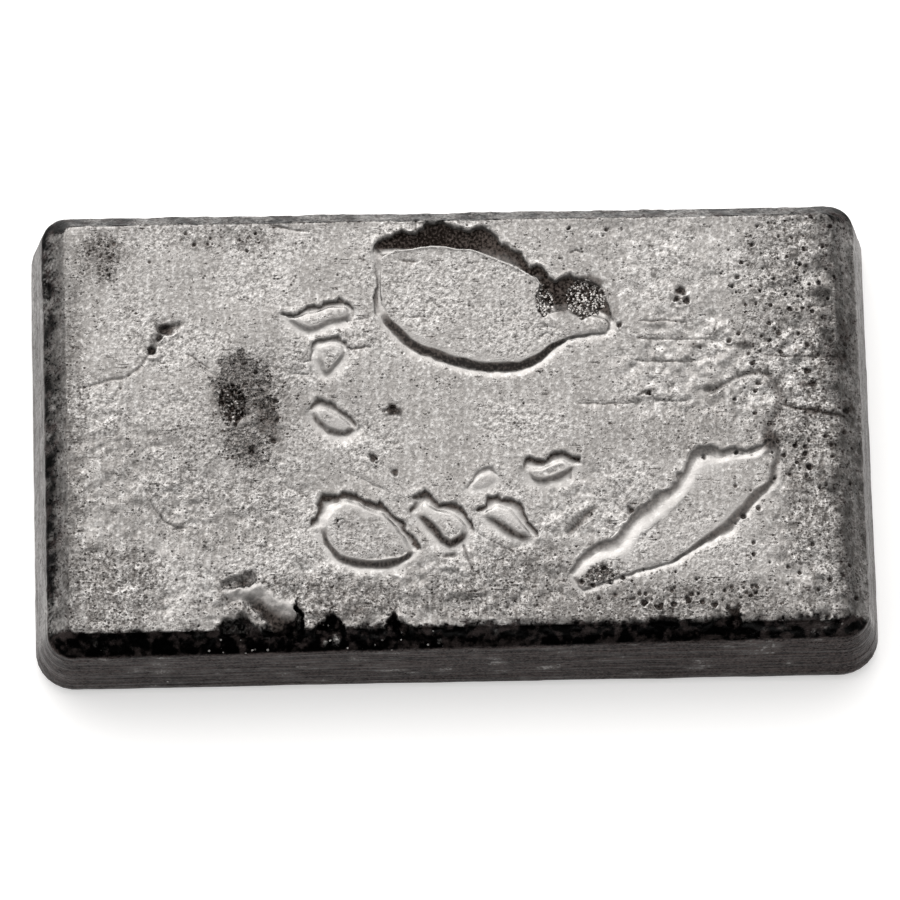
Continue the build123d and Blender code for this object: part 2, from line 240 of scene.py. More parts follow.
# Pits on the mould face: middle, radius, depth
PITS = [
    (13.6, -14.8, 0.4, 0.3), (11.5, -16.1, 0.3, 0.22), (12.6, -16.5, 0.32, 0.24),
    (14.2, -16.2, 0.26, 0.2), (15.4, -15.8, 0.26, 0.2), (26.8, -9.9, 0.36, 0.26),
    (22.2, -16.1, 0.22, 0.16), (19.9, -17.2, 0.24, 0.18), (24.8, -17.3, 0.26, 0.18),
    (16.9, -17.4, 0.24, 0.18), (21.7, -17.6, 0.28, 0.2), (27.6, -13.8, 0.28, 0.2),
    (29.1, -14.6, 0.24, 0.18), (16.1, -17.9, 0.34, 0.26), (17.3, -18.3, 0.4, 0.3),
    (18.7, -18.7, 0.42, 0.3), (20.0, -18.4, 0.36, 0.28), (21.4, -18.1, 0.38, 0.3),
    (22.7, -18.3, 0.34, 0.26), (23.9, -18.6, 0.38, 0.28), (25.1, -18.9, 0.36, 0.28),
    (25.7, -19.4, 0.62, 0.5), (-26.9, 9.8, 0.8, 0.26), (-27.5, 9.0, 0.4, 0.18),
    (-28.2, 7.7, 0.55, 0.28), (-7.6, -3.4, 0.5, 0.14), (-5.6, -4.9, 0.45, 0.12),
    (-5.7, 1.3, 0.9, 0.06), (-18.4, 5.4, 0.36, 0.24), (-19.6, 6.3, 0.3, 0.2),
    (-16.7, 2.5, 0.36, 0.24), (-16.6, 0.6, 0.4, 0.26), (-19.0, -2.5, 0.62, 0.3),
    (-16.9, -1.5, 0.34, 0.22), (16.4, -9.1, 0.44, 0.22), (11.4, 19.4, 0.22, 0.18),
    (14.9, 19.2, 0.22, 0.18), (14.6, 18.6, 0.2, 0.16), (21.7, 12.9, 0.55, 0.22),
    (21.3, 12.0, 0.45, 0.2), (22.2, 11.9, 0.42, 0.2), (10.4, 12.1, 0.6, 0.1),
    (28.8, 11.5, 0.28, 0.18), (29.2, 8.2, 0.32, 0.2), (30.8, 8.5, 0.34, 0.22),
    (32.0, 10.9, 0.3, 0.2), (32.6, 10.8, 0.24, 0.16), (34.1, 10.7, 0.3, 0.2),
    (32.7, 8.5, 0.28, 0.2), (33.5, 7.3, 0.32, 0.22), (33.3, 4.7, 0.45, 0.3),
    (33.8, 3.3, 0.5, 0.3), (34.5, 6.3, 0.28, 0.2), (31.0, 6.6, 0.28, 0.2),
    (32.0, -2.9, 0.32, 0.2), (32.0, -4.6, 0.28, 0.18), (32.8, -3.7, 0.3, 0.2),
    (34.8, -2.0, 0.34, 0.22), (23.4, 7.1, 0.24, 0.16), (24.8, 8.9, 0.24, 0.16),
    (27.1, 8.5, 0.24, 0.16), (28.4, 2.7, 0.24, 0.16), (36.9, 6.3, 0.38, 0.26),
    (37.1, 7.5, 0.32, 0.22), (36.9, 0.7, 0.38, 0.26), (36.6, -1.5, 0.34, 0.24),
    (23.2, -3.9, 0.36, 0.08), (15.9, 9.5, 0.36, 0.2), (18.3, 2.7, 0.34, 0.16),
]

# Where small random pits crowd: lowest and highest corner, how many, largest radius
PIT_FIELDS = [
    ((-36.0, -20.0), (36.0, 20.0), 150, 0.16),
    ((26.0, -20.0), (37.5, 20.5), 170, 0.32),
    ((28.0, 12.0), (37.5, 21.0), 60, 0.3),
    ((-34.7, 15.4), (-31.5, 19.6), 26, 0.24),
    ((-24.8, 17.6), (-17.8, 19.9), 14, 0.24),
    ((-37.0, -21.3), (37.5, -20.2), 70, 0.26),
    ((12.0, -19.0), (28.0, -15.0), 34, 0.28),
]

# Granular patches of early-frozen metal: middle, half sizes, relief, how dark, share given painted
# glints
GRAINS = [
    (-19.7, 4.0, 2.9, 3.4, 0.13, 0.55, 0.0),
    (-19.4, -2.0, 2.2, 2.4, 0.11, 0.4, 0.0),
    (-20.7, 2.2, 1.4, 2.2, 0.14, 1.0, 0.3),
    (-17.4, 1.8, 0.8, 1.6, 0.1, 0.75, 0.0),
    (13.3, -15.5, 1.4, 0.9, 0.08, 0.7, 0.3),
    (8.8, 12.2, 0.9, 1.6, 0.16, 0.95, 1.15),
    (12.7, 12.2, 1.9, 1.8, 0.18, 0.95, 1.15),
]

# Dark stains: middle, half sizes, amount, how soft the edge is
STAINS = [
    (10.5, 12.3, 0.9, 1.5, 0.85, 0.6), (12.6, 13.9, 2.0, 0.7, 0.75, 0.6),
    (29.5, -2.4, 0.8, 1.2, 0.9, 0.7), (17.3, -9.0, 1.4, 0.9, 0.5, 0.9),
    (14.0, -12.4, 1.6, 0.5, 0.5, 0.9), (37.0, 8.6, 0.6, 1.4, 0.6, 0.9),
    (36.6, 6.0, 0.9, 0.6, 0.7, 0.9), (37.2, 1.2, 0.6, 0.8, 0.7, 0.9),
    (32.9, 3.3, 0.4, 0.3, 0.8, 0.8), (33.8, 0.6, 0.9, 0.3, 0.8, 0.8),
    (-19.2, -2.2, 1.2, 0.8, 0.6, 0.9), (-16.9, 0.9, 0.9, 1.1, 0.55, 0.9),
    (-16.9, -1.3, 0.9, 0.8, 0.6, 0.9), (-26.7, 10.1, 0.9, 0.4, 0.85, 0.8),
    (-33.0, 17.3, 1.7, 1.9, 0.3, 1.2), (-9.5, -18.6, 0.9, 0.5, 0.6, 0.9),
    (15.0, 11.5, 0.7, 1.2, 0.35, 1.0), (-8.3, -11.2, 3.8, 2.8, 0.15, 0.6),
    (-17.0, 1.0, 8.5, 7.5, 0.15, 1.0), (-4.0, -17.8, 30.0, 2.8, 0.14, 1.0),
    (-19.7, 4.0, 2.8, 3.3, 0.42, 0.12), (-19.4, -2.0, 2.2, 2.5, 0.28, 0.2),
    (-17.6, 0.8, 0.8, 1.6, 0.7, 0.3), (23.0, 7.3, 0.7, 0.25, 0.6, 0.9),
    (27.6, 7.3, 0.8, 0.35, 0.6, 0.9),
]

# Where the skin is sandy and full of pores: middle, half sizes, amount
PORE_FIELDS = [
    (36.5, -4.0, 6.0, 17.0, 1.0), (33.5, 11.0, 6.0, 11.0, 0.7), (-33.0, 17.3, 2.4, 2.6, 0.9),
    (-21.0, 18.8, 5.5, 1.3, 0.5), (-33.0, -16.0, 5.5, 5.0, 0.9), (13.5, -15.6, 2.4, 1.3, 0.9),
    (22.0, -19.0, 14.0, 2.6, 0.8), (-36.5, -2.0, 2.2, 20.0, 0.7), (6.5, -14.5, 4.2, 2.6, 0.8),
    (-14.0, -17.5, 9.0, 2.6, 0.8), (-19.2, 1.9, 3.6, 6.0, 0.5), (2.0, -17.5, 9.0, 2.4, 0.7),
    (-30.0, -4.0, 7.0, 5.0, 0.35), (-22.0, -9.0, 7.0, 4.0, 0.4), (24.0, -1.0, 8.0, 3.0, 0.4),
]

# Where the skin is clumpy: middle, half sizes, amount
CLUMPS = [
    (24.0, 5.0, 8.0, 5.5, 1.0), (14.0, -8.5, 6.0, 4.0, 0.7), (-10.0, -17.0, 14.0, 3.5, 0.8),
    (34.0, -6.0, 5.0, 15.0, 0.8), (-31.0, -8.0, 6.0, 12.0, 0.6), (4.0, -15.0, 8.0, 4.0, 0.7),
    (20.0, 15.0, 9.0, 5.0, 0.4), (-20.0, -8.0, 7.0, 5.0, 0.5), (34.0, 13.0, 5.0, 8.0, 0.8),
]

# The burst front edge: the line that its black part reaches up to, the hollow behind it, and the
# smooth tongue of metal that ran into it, with the ridge along the tongue's back
BURST = [
    (-36.3, -21.3), (-32.5, -21.2), (-27.8, -21.2), (-25.1, -21.4), (-23.7, -21.3), (-23.1, -20.5),
    (-22.0, -19.4), (-21.3, -18.9), (-20.6, -18.7), (-19.9, -18.9), (-19.3, -19.1), (-18.8, -19.6),
    (-18.2, -20.2), (-17.7, -20.7), (-17.1, -20.5), (-16.4, -20.2), (-15.6, -19.6), (-15.3, -18.7),
    (-15.0, -16.9), (-14.6, -18.1), (-14.5, -19.5), (-14.2, -20.3), (-13.8, -20.6), (-13.3, -20.3),
    (-13.2, -19.3), (-12.7, -18.8), (-12.2, -18.5), (-11.8, -18.2), (-11.4, -18.4), (-11.1, -18.8),
    (-10.9, -19.7), (-10.2, -20.2), (-9.3, -20.4), (-8.2, -20.5), (-7.3, -20.3), (-6.9, -19.7),
    (-6.6, -18.7), (-6.3, -18.5), (-5.9, -18.8), (-5.4, -19.6), (-4.8, -20.1), (-4.1, -20.0),
    (-3.3, -20.4), (-2.2, -20.3), (1.9, -20.5), (6.6, -20.7), (13.1, -20.3), (17.8, -19.6),
    (22.5, -19.9), (24.5, -19.5), (25.7, -19.2), (26.8, -20.2), (29.5, -21.0), (34.6, -21.0),
]
BURST_DEPTH = 0.7
HOLLOW = [
    (-22.4, -16.1), (-21.8, -15.5), (-20.4, -14.9), (-19.3, -14.6), (-18.7, -15.1), (-19.2, -15.7),
    (-20.4, -16.2), (-21.7, -16.4),
]
TONGUE = [
    (-22.0, -16.4), (-20.2, -16.0), (-18.4, -15.7), (-17.4, -16.8), (-16.6, -17.2), (-15.3, -17.6),
    (-15.0, -18.9), (-15.1, -20.4), (-16.9, -20.8), (-17.9, -20.0), (-18.4, -18.8), (-19.3, -18.0),
    (-20.6, -17.6), (-21.8, -17.0),
]
RIDGE = [
    (-21.8, -16.7), (-19.9, -16.4), (-18.4, -16.2), (-17.5, -17.2), (-16.4, -17.8), (-15.3, -18.1),
]

# Lumps of bare metal in the burst edge: middle, radius, height
LUMPS = [
    (-20.3, -18.3, 0.5, 0.15), (-19.4, -18.5, 0.35, 0.15), (-18.9, -19.0, 0.4, 0.15),
    (-18.5, -19.7, 0.4, 0.12), (-23.2, -18.7, 0.4, 0.1), (-22.6, -19.6, 0.3, 0.1),
    (-13.6, -18.9, 0.6, 0.1), (-13.8, -19.9, 0.45, 0.1), (-8.6, -18.9, 0.6, 0.1),
    (-9.0, -19.6, 0.4, 0.1), (-11.6, -21.0, 0.35, 0.15), (-12.6, -21.3, 0.2, 0.12),
    (-1.9, -21.3, 0.2, 0.1), (-5.6, -19.2, 0.3, 0.1),
]


rng = np.random.default_rng(311)
SHUFFLE = rng.permutation(1024)
LEVELS = rng.uniform(-1, 1, 1024)


def ease(t):
    """Smooth from 0 to 1."""
    t = np.clip(t, 0, 1)
    return t * t * (3 - 2 * t)


def noise(points, size, seed=0):
    """Smooth random values from -1 to 1 whose bumps are about that size."""
    scaled = points / size
    cell = np.floor(scaled).astype(np.int64)
    share = scaled - cell
    soft = share * share * share * (share * (share * 6 - 15) + 10)
    total = np.zeros(len(points))
    for corner in product((0, 1), repeat=3):
        key = SHUFFLE[(cell[:, 0] + corner[0] + seed) & 1023]
        key = SHUFFLE[(key + cell[:, 1] + corner[1]) & 1023]
        key = SHUFFLE[(key + cell[:, 2] + corner[2]) & 1023]
        weight = np.ones(len(points))
        for axis in range(3):
            weight *= soft[:, axis] if corner[axis] else 1 - soft[:, axis]
        total += weight * LEVELS[key]
    return total


def trace(x, y, points, closed):
    """Distance to a line, positive inside it if it is closed. And how far the part of the line
    near the point faces the bar's back: 1 where it runs along the back of what it encloses, -1
    along the front."""
    points = np.array(points)
    if closed:
        ahead = np.roll(points, -1, axis=0)
        turn = np.sum(points[:, 0] * ahead[:, 1] - ahead[:, 0] * points[:, 1])
        ends = list(zip(points, ahead))
    else:
        turn = 1
        ends = list(zip(points[:-1], points[1:]))
    nearest = np.full(x.shape, 1e9)
    facing = np.zeros(x.shape)
    weight = np.zeros(x.shape)
    inside = np.zeros(x.shape, bool)
    for a, b in ends:
        run = b - a
        length = np.hypot(*run)
        share = np.clip(((x - a[0]) * run[0] + (y - a[1]) * run[1]) / length ** 2, 0, 1)
        gap = np.hypot(x - a[0] - share * run[0], y - a[1] - share * run[1])
        nearest = np.minimum(nearest, gap)
        pull = length / (gap + 0.25) ** 4
        facing += pull * -run[0] / length * np.sign(turn)
        weight += pull
        if closed and run[1]:
            crosses = (a[1] > y) != (b[1] > y)
            inside ^= crosses & (x < a[0] + (y - a[1]) * run[0] / run[1])
    return (np.where(inside, nearest, -nearest) if closed else nearest), facing / weight


def bend(before, corner, after, radius, count):
    """Points of the arc that rounds a profile's corner."""
    to_before = (before - corner) / np.hypot(*(before - corner))
    to_after = (after - corner) / np.hypot(*(after - corner))
    half = np.arccos(to_before @ to_after) / 2
    middle = corner + (to_before + to_after) / np.hypot(*(to_before + to_after)) * radius / np.sin(half)
    start = corner + to_before * radius / np.tan(half) - middle
    end = corner + to_after * radius / np.tan(half) - middle
    sweep = np.pi - 2 * half
    return [
        middle + (np.sin((1 - t) * sweep) * start + np.sin(t * sweep) * end) / np.sin(sweep)
        for t in np.linspace(0, 1, count)
    ]


def profile(bevel):
    """How far outside the mould face, and how high, each row of the side lies: down the bevel and
    the wall, and in along the poured face's rim."""
    face = np.array([0, THICKNESS])
    shoulder = np.array([bevel, SHOULDER])
    base = np.array([bevel + WALL_DRAFT, 0])
    rim = np.array([bevel + WALL_DRAFT - RIM, 0])
    top = bend(face + (-1, 0), face, shoulder, EDGE_RADIUS, EDGE_ROWS)
    middle = bend(face, shoulder, base, EDGE_RADIUS, EDGE_ROWS)
    low = bend(shoulder, base, rim, MENISCUS_RADIUS, MENISCUS_ROWS)
    rows = top
    rows += list(np.linspace(top[-1], middle[0], BEVEL_ROWS + 1)[1:])
    rows += middle[1:]
    rows += list(np.linspace(middle[-1], low[0], WALL_ROWS + 1)[1:])
    rows += low[1:]
    rows += list(np.linspace(low[-1], rim, RIM_ROWS + 1)[1:])
    return np.array(rows)


ends_profile, sides_profile = profile(END_BEVEL), profile(SIDE_BEVEL)
row_corner = np.interp(
    ends_profile[:, 1], (0, SHOULDER, THICKNESS), (BASE_CORNER, SHOULDER_CORNER, FACE_CORNER),
)
row_corner[-RIM_ROWS:] = np.linspace(BASE_CORNER - 0.2, BASE_CORNER - 1.4, RIM_ROWS)
fine_rows = EDGE_ROWS + BEVEL_ROWS + EDGE_ROWS - 1     # down to the shoulder
wall_end = fine_rows + WALL_ROWS + MENISCUS_ROWS - 1   # down to the floor

# Half the mould face's sizes, and the same without its corners
half_long = LENGTH / 2 - WALL_DRAFT - END_BEVEL + ends_profile[0, 0]
half_wide = WIDTH / 2 - WALL_DRAFT - SIDE_BEVEL + sides_profile[0, 0]
core_long = half_long - FACE_CORNER
core_wide = half_wide - FACE_CORNER

# The columns, evenly spaced round the mould face: a core point and the way out from it
core, out = [], []
quarter = np.pi * FACE_CORNER / 4
for side, (along, across, cells) in enumerate(
    [(core_long, core_wide, CELLS_LONG), (core_wide, core_long, CELLS_WIDE)] * 2
):
    steps = np.arange(cells) / cells * (2 * along + 2 * quarter)
    straight = np.clip(steps - quarter, 0, 2 * along) - along
    lean = np.minimum(steps - quarter, 0) + np.maximum(steps - quarter - 2 * along, 0)
    angle = lean / FACE_CORNER - np.pi / 2
    turn = side * np.pi / 2
    core.append(np.stack([
        straight * np.cos(turn) + across * np.sin(turn),
        straight * np.sin(turn) - across * np.cos(turn),
    ], 1))
    out.append(np.stack([np.cos(angle + turn), np.sin(angle + turn)], 1))
core, out = np.concatenate(core), np.concatenate(out)


def ring(row, step):
    """The points of a row of the side, in one of each step columns."""
    radius = row_corner[row]
    scale = np.array([
        (half_long - ends_profile[0, 0] + ends_profile[row, 0] - radius) / core_long,
        (half_wide - sides_profile[0, 0] + sides_profile[row, 0] - radius) / core_wide,
    ])
    flat = core[::step] * scale + out[::step] * radius
    height = np.full((len(flat), 1), ends_profile[row, 1])
    return np.hstack([flat, height])


def patch(round_it, cells_long, cells_wide):
    """A grid of points that fills a ring, with the ring's own points round it."""
    corners = np.cumsum([cells_long, cells_wide, cells_long])
    loop = np.vstack([round_it, round_it[:1]])
    front = loop[:corners[0] + 1]
    right = loop[corners[0]:corners[1] + 1]
    back = loop[corners[1]:corners[2] + 1][::-1]
    left = loop[corners[2]:][::-1]
    u = np.linspace(0, 1, cells_long + 1)[None, :, None]
    v = np.linspace(0, 1, cells_wide + 1)[:, None, None]
    return (
        (1 - v) * front[None] + v * back[None] + (1 - u) * left[:, None] + u * right[:, None]
        - (1 - u) * (1 - v) * front[0] - u * (1 - v) * front[-1]
        - (1 - u) * v * back[0] - u * v * back[-1]
    )


def border(grid):
    """What lies round a grid, in the ring's order."""
    return np.concatenate([grid[0, :-1], grid[:-1, -1], grid[-1, :0:-1], grid[:0:-1, 0]])


def grid_faces(keys):
    """Four-sided faces between rows of keys."""
    return np.stack([keys[:-1, :-1], keys[:-1, 1:], keys[1:, 1:], keys[1:, :-1]], -1).reshape(-1, 4)


def numbered(grid):
    """A number for each point of a grid."""
    return np.arange(grid.shape[0] * grid.shape[1]).reshape(grid.shape[:2])


# The mesh: a grid over the mould face, rings of points down the sides, a grid below. Where the
# rings get coarser, three triangles stand on each of the lower ring's edges.
top_grid = patch(ring(0, 1), CELLS_LONG, CELLS_WIDE)
top_keys = numbered(top_grid)
parts = [top_grid.reshape(-1, 3)]
quads = [grid_faces(top_keys)]
between_steps = []
count = len(parts[0])
last = border(top_keys)
step = 1
for row in range(1, len(ends_profile)):
    wanted = 1 if row < fine_rows else WALL_STEP if row < wall_end else UNDER_STEP
    points = ring(row, wanted)
    keys = np.arange(count, count + len(points))
    parts.append(points)
    count += len(points)
    above, lower = np.append(last, last[0]), np.append(keys, keys[0])
    if wanted == step:
        quads.append(np.stack([above[:-1], lower[:-1], lower[1:], above[1:]], 1))
    else:
        first, between, second = above[:-1:2], above[1::2], above[2::2]
        between_steps.append(np.stack([first, lower[:-1], between], 1))
        between_steps.append(np.stack([between, lower[:-1], lower[1:]], 1))
        between_steps.append(np.stack([between, lower[1:], second], 1))
    last, step = keys, wanted
under_grid = patch(parts[-1], CELLS_LONG // UNDER_STEP, CELLS_WIDE // UNDER_STEP)
inner = under_grid[1:-1, 1:-1]
under_keys = numbered(under_grid)
under_keys.flat[border(numbered(under_grid))] = last
under_keys[1:-1, 1:-1] = count + numbered(inner)
parts.append(inner.reshape(-1, 3))
quads.append(grid_faces(under_keys)[:, ::-1])
points = np.vstack(parts)
quads = np.vstack(quads)
triangles = np.vstack(between_steps)

# The way out of the surface at each point
normals = np.zeros_like(points)
for faces in (quads, triangles):
    first = points[faces[:, 2 if faces.shape[1] == 4 else 1]] - points[faces[:, 0]]
    second = points[faces[:, -1]] - points[faces[:, 1 if faces.shape[1] == 4 else 0]]
    way = np.cross(first, second)
    for corner in range(faces.shape[1]):
        for axis in range(3):
            normals[:, axis] += np.bincount(faces[:, corner], way[:, axis], len(points))
normals /= np.linalg.norm(normals, axis=1, keepdims=True)

x, y, z = points.T
upper = z > SHOULDER - 0.1          # the mould face and the bevel
under = (z < 0.01) & (normals[:, 2] < -0.5)
wall = ~upper & ~under

# What the marks add up to at each point: how far the mould face drops, and as shares from 0 to 1
# how dark it is (tarnish, stains and grains, with painted shade in the moats, the burst's hollow and
# down the tongue), smooth metal that froze last with a painted sheen on the moats' flanks and rims,
# granular skin, painted glints on its grains, and sandy, porous skin
sink, dark, melt_and_sheen, grain, painted_glints, pitted = np.zeros((6, len(points)))


def near(line, margin):
    """The points of the mould face and bevel in the box round a line."""
    low, high = np.min(line, 0) - margin, np.max(line, 0) + margin
    return np.flatnonzero(upper & (x > low[0]) & (x < high[0]) & (y > low[1]) & (y < high[1]))


def oval(middle_x, middle_y, half_x, half_y):
    """How far out each point lies from an oval's middle. The oval's edge is at 1."""
    return np.hypot((x - middle_x) / half_x, (y - middle_y) / half_y)


# The moats, with the shifts that make their edges ragged and wavy
ragged = np.stack([
    0.14 * noise(points, 0.7, 1) + 0.07 * noise(points, 0.25, 2),
    0.14 * noise(points, 0.7, 3) + 0.07 * noise(points, 0.25, 4),
])
wavy = np.stack([0.1 * noise(points, 1.3, 5), 0.1 * noise(points, 1.3, 6)])
for outer, island, *sizes in POOLS.values():
    depth, cliff_end, flank_start, raised, step, band, rise, crisp, shady, back_shade = sizes
    here = near(outer, 2)
    edge, facing = trace(x[here] + ragged[0, here], y[here] + ragged[1, here], outer, True)
    core_edge, _ = trace(x[here] + wavy[0, here], y[here] + wavy[1, here], island, True)
    back = ease((facing + 0.25) / 0.6)
    front = ease((0.35 - facing) / 0.75)
    # The cliff and the flank of the back. The share is how far across the moat a point is
    reach, beyond = np.clip(edge, 0, None), np.clip(-core_edge, 0, None)
    share = reach / (reach + beyond + 1e-6)
    far = np.clip((share - flank_start) / (1 - flank_start), 0, 1)
    flank = crisp * (1 - far) ** 2 + (1 - crisp) * (1 - ease(far))
    moat = np.where(share < flank_start, ease(share / cliff_end), flank) * (edge > 0)
    # The step of the front, and the ground that rises again beyond it
    wide = band * np.clip(edge + beyond, 0.3, None)
    out_there = np.clip((beyond - wide) / rise, 0, 1)
    up = crisp * (1 - out_there) ** 2 + (1 - crisp) * (1 - ease(out_there))
    soft = np.where(beyond < wide, ease(beyond / wide), up)
    lip = np.exp(-((edge + 0.16) / 0.12) ** 2)
    bead = 0.07 * (crisp == 1) * ease((y[here] - 11) / 2) * np.exp(-(core_edge / 0.14) ** 2)
    sink[here] += back * (depth * moat - raised * lip - bead) + front * step * soft
    # Painted shade with tarnish: at the back, thicker where the side faces it, and in the front's fold
    thick = flank_start * np.clip(0.5 + 0.6 * facing, 0.3, 1)
    thick = np.maximum(thick, cliff_end + 0.02)
    fade = 0.06 + 0.09 * (1 - crisp)
    shade = back_shade * back * ease(share / cliff_end) * (1 - ease((share - thick + fade) / (1.5 * fade)))
    fold = np.clip(beyond / wide, 0, 1.6)
    hard = ease(fold / 0.2) * (1 - ease((fold - 0.8) / 0.25))
    blurred = np.exp(-((fold - 0.54) / 0.38) ** 2) * (beyond > 0)
    shade += shady * front ** 1.5 * ease((edge + beyond) / 0.9) * (crisp * hard + (1 - crisp) * blurred)
    dark[here] = np.maximum(dark[here], np.clip(shade, 0, 1) * (edge > -0.02))
    # Metal that froze last, with a painted sheen on the back's flank and on the rim beyond the front's
    # fold
    smooth = 0.9 * back * (edge > -0.05) * (core_edge < 0.1) + front * ease(1.4 - fold) * (beyond > 0)
    smooth = np.maximum(smooth, front * (1 - ease(out_there / 0.8)) * (beyond > 0))
    melt_and_sheen[here] = np.maximum(melt_and_sheen[here], np.clip(smooth, 0, 1))

# Creases, cracks and scratches
for line, half, depth, shade in CREASES:
    here = near(line, 1.5)
    gap, _ = trace(x[here] + ragged[0, here] * 0.5, y[here] + ragged[1, here] * 0.5, line, False)
    groove = np.exp(-(gap / half) ** 2)
    sink[here] += depth * groove
    dark[here] = np.maximum(dark[here], shade * groove)

# The smooth tongue of metal that ran into the burst front edge
tongue, _ = trace(x + 2 * ragged[0], y + 2 * ragged[1], TONGUE, True)
on_tongue = np.where(upper, ease((tongue + 0.2) / 0.5), 0)

# Pits
pits = list(PITS)
for low, high, number, largest in PIT_FIELDS:
    for place in rng.uniform(low, high, (number, 2)):
        radius = largest * rng.uniform(0.35, 1) ** 1.5
        pits.append((*place, radius, radius * rng.uniform(0.5, 0.9)))
order = np.flatnonzero(upper)
order = order[np.argsort(x[order])]
sorted_x = x[order]
uneven = noise(points, 0.35, 7)
for px, py, radius, depth in pits:
    reach = radius * 2
    span = order[np.searchsorted(sorted_x, px - reach):np.searchsorted(sorted_x, px + reach)]
    here = span[np.abs(y[span] - py) < reach]
    gap = np.hypot(x[here] - px, y[here] - py) / (radius * (1 + 0.6 * uneven[here]))
    hollow = np.clip(1 - gap ** 2, 0, 1) ** 1.5 * (1 - on_tongue[here])
    lip = np.exp(-((gap - 1.15) / 0.25) ** 2) * np.clip(0.5 - (y[here] - py) / radius, 0, 1.5)
    lip *= 1 - on_tongue[here]
    sink[here] += depth * (hollow - 0.22 * lip)
    dark[here] = np.maximum(dark[here], np.clip(hollow * 1.6, 0, 0.95))

# Granular patches
crumbs = np.abs(noise(points, 0.30, 8)) + 0.7 * np.abs(noise(points, 0.16, 9))
coarse, detail = 0.16 * noise(points, 1.1, 10), 0.12 * noise(points, 0.4, 11)
for *place, relief, shade, glint in GRAINS:
    gap = oval(*place) + coarse + detail
    cover = np.where(upper, ease((1.06 - gap) / 0.14), 0)
    sink += relief * cover * (crumbs * 1.4 - 0.35)
    grain = np.maximum(grain, cover)
    painted_glints = np.maximum(painted_glints, glint * cover)
    dark = np.maximum(dark, cover * shade * ease((crumbs - 0.12) / 0.45))

# Stains, and where the skin is full of pores
coarse, detail = 0.2 * noise(points, 1.3, 23), 0.15 * noise(points, 0.45, 24)
for *place, amount, softness in STAINS:
    gap = oval(*place) + coarse + detail
    dark = np.maximum(dark, np.where(upper, amount * ease((1 + softness / 2 - gap) / softness), 0))
coarse = 0.25 * noise(points, 2.0, 25)
for *place, amount in PORE_FIELDS:
    gap = oval(*place) + coarse
    pitted = np.maximum(pitted, amount * ease((1.3 - gap) / 0.6))

# Clumpy skin
clods = 0.10 + 0.12 * noise(points, 1.3, 35) + 0.075 * noise(points, 0.65, 36)
clods = clods + 0.035 * noise(points, 0.33, 37)
coarse = 0.25 * noise(points, 2.5, 38)
for *place, amount in CLUMPS:
    gap = oval(*place) + coarse
    sink += np.where(upper, amount * ease((1.3 - gap) / 0.6), 0) * clods * (1 - melt_and_sheen)

# The burst front edge: black below a ragged line
creep = 0.40 * noise(points, 1.0, 27) + 0.30 * noise(points, 0.45, 28) + 0.16 * noise(points, 0.22, 29)
low_bevel = ease((THICKNESS - z) / BEVEL_DROP)
burst_x, burst_y = np.array(BURST).T
burst_zone = ease((x + 28) / 6) * ease((4 - x) / 8)
below = np.interp(x + 2 * ragged[0], burst_x, burst_y) - y + creep * (0.45 + 0.3 * burst_zone)
drop = np.where(upper, ease(below / 1.1), 0)
sink += drop * (1 - low_bevel) * (BURST_DEPTH + 0.6 * creep)
hollow, _ = trace(x + 1.5 * ragged[0], y + 1.5 * ragged[1], HOLLOW, True)
dent_share = np.where(upper, ease((hollow + 0.2) / 0.5), 0)
sink += 0.35 * dent_share
# painted shade in the hollow behind the tongue
dark = np.maximum(dark, 0.75 * dent_share * (0.75 + 0.6 * noise(points, 0.5, 30)))
ridge, _ = trace(x + 1.2 * ragged[0], y + 1.2 * ragged[1], RIDGE, False)
run_down = np.clip(np.interp(x, *np.array(RIDGE).T) - y + 0.2 * creep, 0, 3.2)
sink += on_tongue * (0.02 * run_down + 0.07 * run_down ** 2)
sink -= np.where(upper, 0.12 * np.exp(-(ridge / 0.45) ** 2), 0)
melt_and_sheen = np.maximum(melt_and_sheen, on_tongue)
# painted shade: the tongue gets darker the further it runs down from its ridge
dark = np.maximum(dark, on_tongue * (0.16 + 0.82 * ease((run_down - 0.05) / 1.8)))
bare = np.zeros(len(points))
for lx, ly, radius, high in LUMPS:
    gap = np.hypot(x - lx + ragged[0], y - ly + ragged[1]) / radius
    lump = np.where(upper, ease(1.4 - gap), 0)
    sink -= high * lump
    bare = np.maximum(bare, lump)

# Soot from the mould on the bevels and the walls, and its ragged rim on the face. The front bevel and
# wall get the most, as painted shade where they face away from the light
sides = ease((0.985 - normals[:, 2]) / 0.05) * (z > 0.2)
front = ease(-normals[:, 1] / 0.5)
left = ease(-normals[:, 0] / 0.5)
right_end = ease(normals[:, 0] / 0.5)
rear = ease(normals[:, 1] / 0.5)
shoulder = ease((z - SHOULDER + 0.25) / 0.3)
# painted shade: the front bevel and wall get the darkest share
soot_and_shade = front * (1.35 * shoulder + 1.3 * (1 - shoulder))
soot_and_shade += left * (shoulder * (0.52 + 0.42 * low_bevel) + 0.66 * (1 - shoulder))
soot_and_shade += right_end * (0.54 * shoulder + 0.66 * (1 - shoulder))
soot_and_shade += rear * (0.80 * shoulder + 0.66 * (1 - shoulder))
soot_and_shade *= sides * (1 + 0.3 * noise(points, 1.6, 21) + 0.3 * noise(points, 0.5, 22))
crumbled = 0.8 * creep + 0.3 * noise(points, 0.28, 34)
waver = 1 + 1.2 * noise(points, 1.4, 31)
for gap, width, softness, amount in (
    (half_long + x, 0.9, 0.9, 0.3),
    (half_long - x, 2.2, 2.2, 0.6),
    (half_wide + y, 0.2 + 0.25 * ease((x + 27) / 3), 0.3, 0.95),
    (half_wide - y, 0.8, 0.8, 0.2),
):
    rim_soot = amount * ease((width * waver + crumbled - gap) / softness)
    soot_and_shade = np.maximum(soot_and_shade, np.where(upper & (low_bevel < 0.3), rim_soot, 0))
